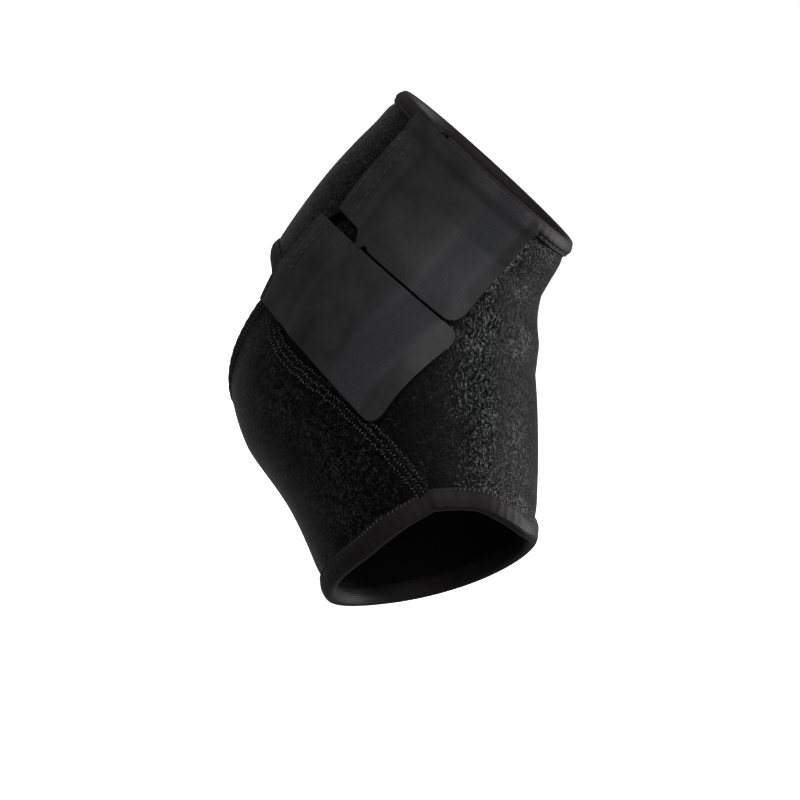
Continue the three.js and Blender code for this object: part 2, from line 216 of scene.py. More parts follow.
@dataclass(frozen=True)
class PatternLines:
    """Where the wrap is cut: its rims, the oval heel opening, the closure and the side seam."""

    form: AnkleForm
    heel_at: float = 70.5
    heel_rise: float = 13.5
    heel_drop: float = 22.0
    heel_half: float = 60.0
    heel_roundness: float = 0.3
    rim_at: tuple[float, ...] = (0.0, 0.1, 0.19, 0.25, 0.33, 0.45, 0.65, 0.83, 0.9, 0.95, 1.0)
    rim_reach: tuple[float, ...] = (-4.5, -2.5, 1.5, 4.5, 1.5, 0.0, 1.0, 5.5, 4.5, -0.5, -4.5)
    closure_at: tuple[float, ...] = (0.0, 0.5, 0.75, 1.0)
    closure_lean: tuple[float, ...] = (39.0, 36.0, 18.0, 0.0)
    seam_at: tuple[float, ...] = (0.0, 0.2, 0.4, 0.7, 1.0)
    seam_lean: tuple[float, ...] = (0.0, 6.0, 15.5, 25.0, 31.0)
    lean_fade: float = 90.0
    closure_gap: float = 4.0

    @property
    def gap_half_angle(self) -> float:
        """Half of the closure's gap, as an angle."""
        return math.degrees(self.closure_gap / 2 / self.form.half_width)

    @property
    def first(self) -> float:
        """Column of the closure's front edge and of the side seam."""
        return self.heel_half - 180 + self.gap_half_angle

    def oval(self, column: Array) -> Array:
        """Angle around the heel opening's oval, 0 at its outer end and pi at its inner end."""
        return np.arccos(np.clip((column - 180) / self.heel_half, -1, 1))

    def columns(self, front: int, heel: int) -> Array:
        """Base angles of the columns from the closure's front edge round to its back edge."""
        inner = 180 - self.heel_half
        last = self.oval(np.array(180 + self.heel_half - self.gap_half_angle))
        bent = np.linspace(math.pi, float(last), heel + 1)[1:]
        return np.append(np.linspace(self.first, inner, front + 1), 180 + self.heel_half * np.cos(bent))

    def upper_heel(self, column: Array) -> Array:
        """Distance along the spine of the heel opening's upper edge."""
        return self.heel_at - self.heel_rise * np.sin(self.oval(column))

    def lower_heel(self, column: Array) -> Array:
        """Distance along the spine of the heel opening's lower edge."""
        rise = np.sin(self.oval(column))
        shape = self.heel_roundness * rise + (1 - self.heel_roundness) * rise**3
        return self.heel_at + self.heel_drop * shape

    def foot_rim(self, column: Array) -> Array:
        """Distance along the spine of the foot rim."""
        share = (np.asarray(column) - self.first) / 360
        return self.form.spine_length + smooth_curve(self.rim_at, self.rim_reach, share)

    def leaning(self, column: Array, lean: Array) -> Array:
        """Angles of columns that lean with a line, which fades away from it."""
        away = np.minimum(np.abs(column - self.first), np.abs(column - 360 - self.first))
        return column + (1 - smooth_step(away, 0, self.lean_fade)) * lean

    def leg_spot(self, column: Array, share: Array) -> Pair:
        """Spots of the upper part, from the top rim down to the heel opening's level."""
        lean = smooth_curve(self.closure_at, self.closure_lean, share)
        return share * self.upper_heel(column), self.leaning(column, lean)

    def foot_spot(self, column: Array, share: Array) -> Pair:
        """Spots of the lower part, from the heel opening's level to the foot rim."""
        low = self.lower_heel(column)
        lean = smooth_curve(self.seam_at, self.seam_lean, share)
        return low + share * (self.foot_rim(column) - low), self.leaning(column, lean)


def hex_colour(code: str) -> tuple[float, float, float, float]:
    """Turns an sRGB hex colour to Blender's linear colour."""
    parts = [int(code[i : i + 2], 16) / 255 for i in (1, 3, 5)]
    linear = [p / 12.92 if p <= 0.04045 else ((p + 0.055) / 1.055) ** 2.4 for p in parts]
    return (*linear, 1.0)


def add_node(
    tree: Tree,
    kind: str,
    settings: dict[str, object] | None = None,
    inputs: dict[str | int, object] | None = None,
) -> bpy.types.Node:
    """Adds a node with its settings, socket values and incoming links.

    Args:
        tree: Node tree that takes the node.
        kind: Blender's name of the node type.
        settings: Attributes to set on the node.
        inputs: Socket values, or the output sockets to link them from.

    Returns:
        The new node.
    """
    node = tree.nodes.new(kind)
    for name, value in (settings or {}).items():
        setattr(node, name, value)
    for name, value in (inputs or {}).items():
        if isinstance(value, Socket):
            tree.links.new(value, node.inputs[name])
        else:
            node.inputs[name].default_value = value
    return node


def blank_material(name: str) -> tuple[Material, Tree]:
    """Makes a material with an empty tree."""
    material = bpy.data.materials.new(name)
    material.use_nodes = True
    material.node_tree.nodes.clear()
    return material, material.node_tree


def end_tree(tree: Tree, inputs: dict[str, object]) -> None:
    """Ends a material's tree in a principled shader with these inputs."""
    shader = add_node(tree, "ShaderNodeBsdfPrincipled", inputs=inputs)
    add_node(tree, "ShaderNodeOutputMaterial", inputs={"Surface": shader.outputs["BSDF"]})


def ramp(tree: Tree, factor: Socket, stops: dict[float, str]) -> Socket:
    """Colours a factor by stops of place and hex colour."""
    node = add_node(tree, "ShaderNodeValToRGB", inputs={"Fac": factor})
    elements = node.color_ramp.elements
    for place in list(stops)[2:]:
        elements.new(place)
    for element, (place, code) in zip(elements, sorted(stops.items())):
        element.position = place
        element.color = hex_colour(code)
    return node.outputs["Color"]


def maths(tree: Tree, operation: str, *values: Socket | float, clamp: bool = False) -> Socket:
    """One step of arithmetic on sockets and numbers."""
    settings = {"operation": operation, "use_clamp": clamp}
    return add_node(tree, "ShaderNodeMath", settings, dict(enumerate(values))).outputs[0]


def cloud(tree: Tree, place: Socket, size_mm: float, detail: float, curl: float = 0.0) -> Socket:
    """Noise of a size in millimetres, curled by its own distortion."""
    inputs = {"Vector": place, "Scale": 1 / (size_mm * MM), "Detail": detail, "Distortion": curl}
    return add_node(tree, "ShaderNodeTexNoise", inputs=inputs).outputs["Fac"]


def fade(tree: Tree, value: Socket, stretch: tuple[float, float], ends: tuple[float, float]) -> Socket:
    """Goes smoothly between two end values over a stretch in millimetres."""
    keys = ("From Min", "From Max", "To Min", "To Max")
    inputs = {"Value": value, **dict(zip(keys, (*(place * MM for place in stretch), *ends)))}
    return add_node(tree, "ShaderNodeMapRange", {"interpolation_type": "SMOOTHSTEP"}, inputs).outputs[0]


def bumps(tree: Tree, height: Socket, strength: float, depth_mm: float) -> Socket:
    """The normal of a face that rises and falls with a height."""
    inputs = {"Height": height, "Strength": strength, "Distance": depth_mm * MM}
    return add_node(tree, "ShaderNodeBump", inputs=inputs).outputs["Normal"]


@dataclass(frozen=True)
class LoopCloth:
    """Unbroken-loop nylon laminated on neoprene: matt black pile whose curled loops glint, with painted shade
    in its hollows and painted glints on its loop tips.
    """

    name: str = "loop_nylon_on_neoprene"
    shaded_hollow: str = "#020202"
    pile: str = "#070708"
    glinting_tip: str = "#1e1e20"
    loop_mm: float = 1.7
    loop_width: float = 0.08
    loop_curl: float = 0.9
    fuzz: float = 0.28
    patch_mm: float = 16.0
    patch_contrast: float = 1.6
    patch_shift: float = -0.2
    depth_mm: float = 0.8
    roughness: float = 0.25
    gloss: float = 0.07
    loop_gloss: float = 0.22

    def build(self) -> Material:
        """Makes the material."""
        material, tree = blank_material(self.name)
        place = add_node(tree, "ShaderNodeTexCoord").outputs["Object"]
        # Where the noise passes its middle it draws curled lines, the loops. Real loops are about
        # 0.4 mm; they are drawn coarser, near 1.7 mm, so that they show
        curls = cloud(tree, place, self.loop_mm, 1.5, self.loop_curl)
        away = maths(tree, "ABSOLUTE", maths(tree, "SUBTRACT", curls, 0.5))
        loops = maths(tree, "MULTIPLY_ADD", away, -1 / self.loop_width, 1.0, clamp=True)
        # Finer fuzz between the loops, and areas where the pile is pressed flatter
        fuzz = cloud(tree, place, self.loop_mm / 3, 2.0)
        patches = cloud(tree, place, self.patch_mm, 2.0)
        standing = maths(tree, "MULTIPLY_ADD", patches, self.patch_contrast, self.patch_shift, clamp=True)
        raised = maths(tree, "MULTIPLY", loops, standing)
        height = maths(tree, "MULTIPLY_ADD", fuzz, self.fuzz, raised)
        # The colour follows the height: darker in the hollows as painted shade, lighter at the loop tips as
        # painted glints
        inputs = {
            "Base Color": ramp(tree, height, {0.1: self.shaded_hollow, 0.25: self.pile, 0.95: self.glinting_tip}),
            "Roughness": self.roughness,
            # Glossy fibres in a dark pile: bright only where a loop faces the light
            "Specular IOR Level": maths(tree, "MULTIPLY_ADD", raised, self.loop_gloss, self.gloss),
            "Normal": bumps(tree, height, 1.0, self.depth_mm),
        }
        end_tree(tree, inputs)
        return material


@dataclass(frozen=True)
class SmoothCloth:
    """Knitted or woven nylon: an even dark face with a fine rib along one direction.

    The rib band is the stretch of the run, in millimetres, on which the rib shows and the colour is painted
    lighter as a sheen, if not all over.
    """

    name: str
    dark: str
    light: str
    rib_mm: float
    rib_depth: float
    roughness: float
    specular: float
    sheen: float = 0.0
    rib_axis: str = "X"
    rib_and_painted_sheen_band: tuple[float, float] | None = None
    rib_weight: float = 0.45
    rib_left: float = 0.06
    fade_in: float = 7.0
    fade_out: float = 6.0
    painted_sheen_strength: float = 0.3
    grain_mm: float = 0.5
    grain_weight: float = 0.4
    grain_height: float = 0.35
    patch_mm: float = 100 / 9

    def build(self) -> Material:
        """Makes the material, whose ribs follow the piece's own UV map in metres."""
        material, tree = blank_material(self.name)
        coords = add_node(tree, "ShaderNodeTexCoord").outputs
        wave = {
            "Vector": coords["UV"],
            "Scale": WAVE_LENGTH / (self.rib_mm * MM),
            "Distortion": 0.6,
            "Detail": 1.0,
            "Detail Scale": 2.0,
        }
        rib = add_node(tree, "ShaderNodeTexWave", {"bands_direction": self.rib_axis}, wave).outputs["Fac"]
        painted_sheen_tone = 0.0
        if self.rib_and_painted_sheen_band:
            run = add_node(tree, "ShaderNodeSeparateXYZ", inputs={0: coords["UV"]}).outputs["X"]
            first, last = self.rib_and_painted_sheen_band
            starting = fade(tree, run, (first, first + self.fade_in), (self.rib_left, 1.0))
            ending = fade(tree, run, (last - self.fade_out, last), (1.0, self.rib_left))
            mask = maths(tree, "MULTIPLY", starting, ending)
            # The band fades the ribs in and out, in their bumps and in the colour; in the band the ribs'
            # lighter colour is a painted highlight and the whole colour is lifted as a painted sheen
            rib = maths(tree, "MULTIPLY", rib, mask)
            painted_sheen_tone = maths(tree, "MULTIPLY", mask, self.painted_sheen_strength)
        grain = cloud(tree, coords["Object"], self.grain_mm, 4.0)
        patches = cloud(tree, coords["Object"], self.patch_mm, 3.0)
        tone = maths(tree, "MULTIPLY_ADD", rib, self.rib_weight, patches)
        tone = maths(tree, "MULTIPLY_ADD", grain, self.grain_weight, tone)
        height = maths(tree, "MULTIPLY_ADD", grain, self.grain_height, rib)
        inputs = {
            "Base Color": ramp(tree, maths(tree, "ADD", tone, painted_sheen_tone), {0.45: self.dark, 1.0: self.light}),
            "Roughness": self.roughness,
            "Specular IOR Level": self.specular,
            "Sheen Weight": self.sheen,
            "Sheen Roughness": 0.4,
            "Normal": bumps(tree, height, 0.7, self.rib_depth),
        }
        end_tree(tree, inputs)
        return material


class Finish(Enum):
    """The finishes of the brace."""

    # Napped loops catch the hooks of the tabs
    OUTER = LoopCloth()
    # Jersey lining: a smooth fine knit, its ribs drawn coarser than the real 0.4 mm
    LINING = SmoothCloth("nylon_jersey_lining", "#070708", "#111113", 0.8, 0.10, 0.75, 0.08)
    # Cut edge of the closed-cell foam
    FOAM = SmoothCloth("neoprene_foam_edge", "#060606", "#0e0e0f", 2.0, 0.05, 0.85, 0.08)
    # Folded knitted tape, slightly warm and smoother than the pile
    TAPE = SmoothCloth("knitted_nylon_tape", "#131112", "#1f1b1d", 0.7, 0.10, 0.5, 0.14, rib_axis="Y")
    # Smooth charcoal face of the tabs; the hooks behind press fine ribs through near the free end, where the
    # colour is also painted lighter as a sheen band
    UPPER_TAB = SmoothCloth(
        "brushed_nylon_upper_tab", "#1e1e1f", "#2f2f31", 1.0, 0.36, 0.4, 0.2, 0.01, rib_and_painted_sheen_band=(42.0, 64.0)
    )
    LOWER_TAB = SmoothCloth(
        "brushed_nylon_lower_tab", "#1c1c1d", "#303032", 1.0, 0.42, 0.38, 0.22, 0.01, rib_and_painted_sheen_band=(48.0, 71.0)
    )
    # Twisted polyester thread, a little lighter than the cloth
    THREAD = SmoothCloth("polyester_thread", "#2a2a2c", "#4c4c50", 0.4, 0.05, 0.45, 0.3)


class Wardrobe:
    """Builds each finish once and gives its material."""

    def __init__(self) -> None:
        """Starts with no material made."""
        self.made: dict[Finish, Material] = {}

    def get(self, finish: Finish) -> Material:
        """Gives the material of a finish."""
        if finish not in self.made:
            self.made[finish] = finish.value.build()
        return self.made[finish]


def only(piece: Piece) -> None:
    """Selects one piece alone and makes it active."""
    bpy.ops.object.select_all(action="DESELECT")
    piece.select_set(True)
    bpy.context.view_layer.objects.active = piece


def grid_piece(name: str, points: Array, uv: Array | None = None) -> Piece:
    """Lays a grid primitive over rows and columns of points.

    Args:
        name: Name of the piece.
        points: Points in millimetres, rows by columns by three.
        uv: Flat place of each point in millimetres, rows by columns by two.

    Returns:
        The new piece.
    """
    rows, columns = points.shape[:2]
    bpy.ops.object.select_all(action="DESELECT")
    bpy.ops.mesh.primitive_grid_add(x_subdivisions=columns - 1, y_subdivisions=rows - 1, size=1.0)
    piece = bpy.context.object
    piece.name = piece.data.name = name
    mesh = piece.data
    mesh.vertices.foreach_set("co", (points * MM).reshape(-1))
    if uv is not None:
        corners = np.empty(len(mesh.loops), int)
        mesh.loops.foreach_get("vertex_index", corners)
        mesh.uv_layers[0].data.foreach_set("uv", (uv * MM).reshape(-1, 2)[corners].reshape(-1))
    mesh.update()
    return piece


def in_edit_mode(piece: Piece, action: Callable[..., object], **settings: object) -> None:
    """Runs a mesh operator on the whole of a piece."""
    only(piece)
    bpy.ops.object.mode_set(mode="EDIT")
    bpy.ops.mesh.select_all(action="SELECT")
    action(**settings)
    bpy.ops.object.mode_set(mode="OBJECT")


def merge_close(piece: Piece, gap: float = 0.02) -> None:
    """Merges points of a piece that lie within a gap in millimetres."""
    in_edit_mode(piece, bpy.ops.mesh.remove_doubles, threshold=gap * MM)


def face_toward(piece: Piece, face: bpy.types.MeshPolygon, outward: Array) -> None:
    """Turns an open piece over if one of its faces looks against a direction."""
    if face.normal.dot(Vector(outward)) < 0:
        in_edit_mode(piece, bpy.ops.mesh.flip_normals)


def apply_modifier(piece: Piece, kind: str, **settings: object) -> None:
    """Adds a modifier with its settings and applies it."""
    only(piece)
    modifier = piece.modifiers.new(kind.title(), kind)
    for name, value in settings.items():
        setattr(modifier, name, value)
    bpy.ops.object.modifier_apply(modifier=modifier.name)


def smooth_shaded(piece: Piece, angle: float = 50.0) -> None:
    """Shades a piece smooth except at edges sharper than an angle in degrees."""
    only(piece)
    bpy.ops.object.shade_smooth_by_angle(angle=math.radians(angle))


def path_length(points: Array) -> Array:
    """Length run along a polyline at each of its points."""
    steps = np.linalg.norm(np.diff(points, axis=0), axis=1)
    return np.append(0.0, np.cumsum(steps))


def soft_noise(points: Array, length: float, shift: float = 0.0) -> Array:
    """Smooth noise at points in millimetres, with waves of a length."""
    spots = points.reshape(-1, 3) / length + shift
    return np.array([noise.noise(Vector(spot)) for spot in spots]).reshape(points.shape[:-1])


@dataclass(frozen=True)
class Rim:
    """A line on the form that tape or stitches follow, with equal steps along it."""

    form: AnkleForm
    s: Array
    angle: Array
    inward: float
    closed: bool = False

    @classmethod
    def even(
        cls, form: AnkleForm, s: Array, angle: Array, inward: float, step: float, closed: bool = False
    ) -> "Rim":
        """Makes a rim with equal steps from uneven spots."""
        run = path_length(form.surface(s, angle))
        count = max(2, round(run[-1] / step))
        places = np.linspace(0, run[-1], count + 1)
        return cls(form, np.interp(places, run, s), np.interp(places, run, angle), inward, closed)

    @cached_property
    def run(self) -> Array:
        """Length run at each spot."""
        return path_length(self.form.surface(self.s, self.angle))

    @cached_property
    def normal(self) -> Array:
        """Outward normal at each spot."""
        return self.form.tangents(self.s, self.angle)[2]

    @cached_property
    def across(self) -> Array:
        """Unit vectors in the surface that point away from the edge, into the panel."""
        points = self.form.surface(self.s, self.angle)
        if self.closed:
            ring = points[:-1]
            tangent = np.roll(ring, -1, axis=0) - np.roll(ring, 1, axis=0)
            tangent = np.vstack([tangent, tangent[:1]])
        else:
            tangent = np.gradient(points, axis=0)
        tangent /= np.linalg.norm(tangent, axis=1, keepdims=True)
        return np.cross(self.normal, tangent) * self.inward

    def beside(self, inset: Array, height: Array) -> Array:
        """Points beside the rim.

        Args:
            inset: How far each lies from the rim into the panel.
            height: How far each lies above the form.

        Returns:
            One point for each spot of the rim.
        """
        inset = np.broadcast_to(inset, self.s.shape)
        s, angle = self.form.moved(self.s, self.angle, self.across * inset[:, None])
        return self.form.skin(s, angle, height)

    def at(self, places: Array) -> "Rim":
        """The rim read at other lengths along it."""
        s, angle = (np.interp(places, self.run, values) for values in (self.s, self.angle))
        return Rim(self.form, s, angle, self.inward)


class StitchStyle(Enum):
    """How a row of thread is laid."""

    STRAIGHT = "straight"
    ZIGZAG = "zigzag"
    OVERCAST = "overcast"


@dataclass
class StitchRow:
    """One row of stitches, each a thin bowed thread whose ends go down into the cloth."""

    name: str
    thickness: float = 0.42
    length: float = 2.4
    gap: float = 0.9
    swing: float = 0.0
    stray: float = 0.0
    style: StitchStyle = StitchStyle.STRAIGHT
    bluntness: float = 0.6
    flatness: float = 0.8
    bow: float = 0.55
    sink: float = 0.35

    def thread(self) -> tuple[Array, list[tuple[int, ...]]]:
        """One stitch along X from 0 to 1 with thickness 1, as points and faces."""
        bpy.ops.mesh.primitive_uv_sphere_add(segments=6, ring_count=6, radius=0.5)
        ball = bpy.context.object
        points = np.array([v.co for v in ball.data.vertices])
        faces = [tuple(p.vertices) for p in ball.data.polygons]
        bpy.data.objects.remove(ball)
        along = np.sign(points[:, 2]) * np.abs(points[:, 2] * 2) ** self.bluntness / 2
        return np.stack([along + 0.5, points[:, 0], points[:, 1]], axis=1), faces

    def between(self, starts: Array, ends: Array, normals: Array) -> Piece:
        """Lays threads from starts to ends.

        Args:
            starts: First point of each stitch in millimetres.
            ends: Last point of each stitch.
            normals: Outward normal at each stitch.

        Returns:
            All stitches of the row as one piece.
        """
        shape, faces = self.thread()
        reach = ends - starts
        side = np.cross(normals, reach)
        side /= np.linalg.norm(side, axis=1, keepdims=True)
        arch = np.sin(np.pi * np.clip(shape[:, 0], 0, 1))
        rise = shape[:, 2] * self.flatness + self.bow * arch - self.sink
        points = (
            starts[:, None]
            + reach[:, None] * shape[:, :1]
            + side[:, None] * (shape[:, 1:2] * self.thickness)
            + normals[:, None] * (rise[:, None] * self.thickness)
        )
        count = len(shape)
        listed = [tuple(c + k * count for c in face) for k in range(len(starts)) for face in faces]
        mesh = bpy.data.meshes.new(self.name)
        mesh.from_pydata((points.reshape(-1, 3) * MM).tolist(), [], listed)
        piece = bpy.data.objects.new(self.name, mesh)
        bpy.context.scene.collection.objects.link(piece)
        in_edit_mode(piece, bpy.ops.mesh.normals_make_consistent, inside=False)
        smooth_shaded(piece, 80)
        return piece

    def along(self, rim: Rim, inset: float, height: float, free: tuple[float, float]) -> Piece:
        """Lays a row beside a rim.

        Args:
            rim: Line that the row follows.
            inset: How far the row lies from the rim.
            height: Height of the cloth's face above the form.
            free: Lengths left free at the rim's start and end.

        Returns:
            The row as one piece.
        """
        places = np.arange(free[0], rim.run[-1] - free[1] - self.length, self.length + self.gap)
        head, tail = rim.at(places), rim.at(places + self.length)
        swing = np.full(len(places), self.swing)
        if self.style is StitchStyle.ZIGZAG:
            swing[1::2] *= -1
        stray = np.random.default_rng(len(places)).uniform(-self.stray, self.stray, (2, len(places)))
        starts = head.beside(inset - swing + stray[0], height)
        ends = tail.beside(inset + swing + stray[1], height)
        return self.between(starts, ends, head.normal)


@dataclass
class Workshop:
    """What every part of the brace is made from and with."""

    form: AnkleForm
    lines: PatternLines
    wardrobe: Wardrobe

    def finish_piece(self, piece: Piece, finish: Finish, slot: str) -> None:
        """Dresses a piece and fixes it to the body."""
        if not piece.data.materials:
            piece.data.materials.append(self.wardrobe.get(finish))
        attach(piece, BODY)
        LOG.info("%s: %d faces", piece.name, len(piece.data.polygons))

    def sew(self, row: StitchRow, rim: Rim, inset: float, height: float, free: tuple[float, float]) -> None:
        """Sews a row of thread beside a rim."""
        self.finish_piece(row.along(rim, inset, height, free), Finish.THREAD, "seam_thread")


@dataclass
class NeopreneWrap:
    """The padded body: one bent tube of sheet, open at the heel, with a strap below the opening."""

    shop: Workshop
    wall: float = 3.2
    front_columns: int = 120
    heel_columns: int = 84
    leg_rows: int = 48
    foot_rows: int = 60
    groove: float = 0.7
    groove_reach: float = 2.2
    tape_reach: float = 5.0
    foot_reach: float = 7.4
    sway: float = 0.45
    sway_length: float = 26.0
    ripple: float = 0.35
    ripple_length: float = 26.0 / 4.5
    ripple_reach: float = 7.0

    def heights(self, s: Array, angle: Array, column: Array) -> Array:
        """Small rise and fall of the cloth: soft waves, and grooves where the tapes are sewn down."""
        points = self.shop.form.surface(s, angle)
        waves = self.sway * soft_noise(points, self.sway_length)
        ripples = self.ripple * soft_noise(points, self.ripple_length)
        rims = ((s, self.tape_reach), (self.shop.lines.foot_rim(column) - s, self.foot_reach))
        sunk = sum(hump(rim, reach, self.groove_reach) for rim, reach in rims)
        near = sum(hump(rim, reach, self.ripple_reach) for rim, reach in rims)
        return waves + ripples * near - self.groove * sunk

    def grid(self, columns: Array, rows: int, place: Callable[..., Pair], name: str) -> Piece:
        """Lays one part of the sheet as a grid of spots."""
        share, column = np.meshgrid(np.linspace(0, 1, rows + 1), columns, indexing="ij")
        s, angle = place(column, share)
        return grid_piece(name, self.shop.form.skin(s, angle, self.heights(s, angle, column)))

    def build(self) -> Piece:
        """Makes the sheet with its cloth face, lining and cut edges."""
        lines, shop = self.shop.lines, self.shop
        columns = lines.columns(self.front_columns, self.heel_columns)
        leg = self.grid(columns, self.leg_rows, lines.leg_spot, "padded_wrap")
        foot = self.grid(np.append(columns, lines.first + 360), self.foot_rows, lines.foot_spot, "wrap_foot")
        only(leg)
        foot.select_set(True)
        bpy.ops.object.join()
        wrap = bpy.context.object
        merge_close(wrap)
        for finish in (Finish.OUTER, Finish.LINING, Finish.FOAM):
            wrap.data.materials.append(shop.wardrobe.get(finish))
        middle = wrap.data.polygons[len(wrap.data.polygons) // 2]
        centres = shop.form.spine[1] * MM
        gaps = np.linalg.norm(centres - np.array(middle.center), axis=1)
        face_toward(wrap, middle, middle.center - Vector(centres[gaps.argmin()]))
        apply_modifier(
            wrap, "SOLIDIFY", thickness=self.wall * MM, offset=-1, material_offset=1, material_offset_rim=2
        )
        smooth_shaded(wrap)
        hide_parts("neoprene_wrap")
        shop.finish_piece(wrap, Finish.OUTER, "neoprene")
        return wrap


@dataclass
class EdgeTape:
    """Knitted tape folded over a rim, puffed between its fold and the row that sews it down."""

    shop: Workshop
    name: str
    node: str
    rim: Rim
    wall: float = 3.2
    reach: float = 5.0
    fold: float = 1.3
    puff: float = 0.75
    fullness: float = 0.8
    lift: float = 0.35
    edge_lift: float = 0.05
    cloth: float = 0.6
    row_margin: float = 1.0
    dip: float = 0.5
    dip_reach: float = 0.6
    wobble: float = 0.22
    wobble_length: float = 9.0
    pucker: float = 0.07
    pucker_length: float = 4.3
    pucker_drift: float = 2.5
    drift_length: float = 11.25
    lap: float = 9.0
    lap_rise: float = 0.5
    face_steps: int = 15
    fold_steps: int = 11

    @property
    def row_inset(self) -> float:
        """Distance from the rim to the row that sews the tape down."""
        return self.reach - self.row_margin

    def profile(self) -> Pair:
        """Insets and heights across the tape, from its outer edge round the fold to its inner edge."""
        flat = np.linspace(self.reach, 0.0, self.face_steps)[:-1]
        crown = self.lift + self.puff * np.sin(np.pi * np.clip(flat / self.reach, 0, 1)) ** self.fullness
        crown -= self.dip * hump(flat, self.row_inset, self.dip_reach)
        crown[0] = self.edge_lift
        around = np.linspace(math.pi / 2, -math.pi / 2, self.fold_steps)
        middle = -self.wall / 2
        fold_height = middle + (self.wall / 2 + self.lift) * np.sin(around)
        insets = np.concatenate([flat, -self.fold * np.cos(around), flat[::-1]])
        heights = np.concatenate([crown, fold_height, 2 * middle - crown[::-1]])
        return insets, heights

    def build(self) -> None:
        """Makes the tape."""
        insets, heights = self.profile()
        rim = self.rim
        points = rim.form.surface(rim.s, rim.angle)
        drift = self.wobble * soft_noise(points, self.wobble_length)
        turns = self.pucker_drift * soft_noise(points, self.drift_length, 3.0)
        rise = drift * 0.5 + self.pucker * np.sin(rim.run * 2 * math.pi / self.pucker_length + turns)
        if rim.closed:
            # The tape's end is lapped over its start
            rise += self.lap_rise * smooth_step(self.lap - rim.run, 0.0, 0.8)
            drift[-1], rise[-1] = drift[0], rise[0]
        rows = [
            rim.beside(inset + drift * (inset > 1), height + rise * (height > 0))
            for inset, height in zip(insets, heights)
        ]
        grid = np.stack(rows)
        width = path_length(np.stack([insets, heights], axis=1))
        uv = np.stack(np.broadcast_arrays(rim.run[None, :], width[:, None]), axis=-1)
        tape = grid_piece(self.name, grid, uv)
        if rim.closed:
            merge_close(tape)
        # A face in the middle of the outer side tells which way the tape looks
        middle = len(rim.s) // 2
        wanted = Vector(grid[self.face_steps // 3 - 1, middle] * MM)
        nearest = min(tape.data.polygons, key=lambda face: (face.center - wanted).length)
        face_toward(tape, nearest, rim.normal[middle])
        apply_modifier(tape, "SOLIDIFY", thickness=self.cloth * MM, offset=-1)
        smooth_shaded(tape, 60)
        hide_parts(self.node)
        self.shop.finish_piece(tape, Finish.TAPE, "tape")
        flat_width, flat_length = width[-1] * MM, rim.run[-1] * MM

    def sew(self, style: StitchStyle, margin: float = 1.5) -> None:
        """Sews the tape down beside its outer edge."""
        crossing = style is StitchStyle.OVERCAST
        row = StitchRow(
            f"{self.name}_stitches",
            thickness=0.55,
            length=0.6 if crossing else 2.3,
            gap=1.15 if crossing else 0.9,
            swing=0.8 if crossing else 0.0,
            style=style,
        )
        height = self.lift + self.puff * 0.72 - self.dip
        self.shop.sew(row, self.rim, self.row_inset, height, (margin, margin))


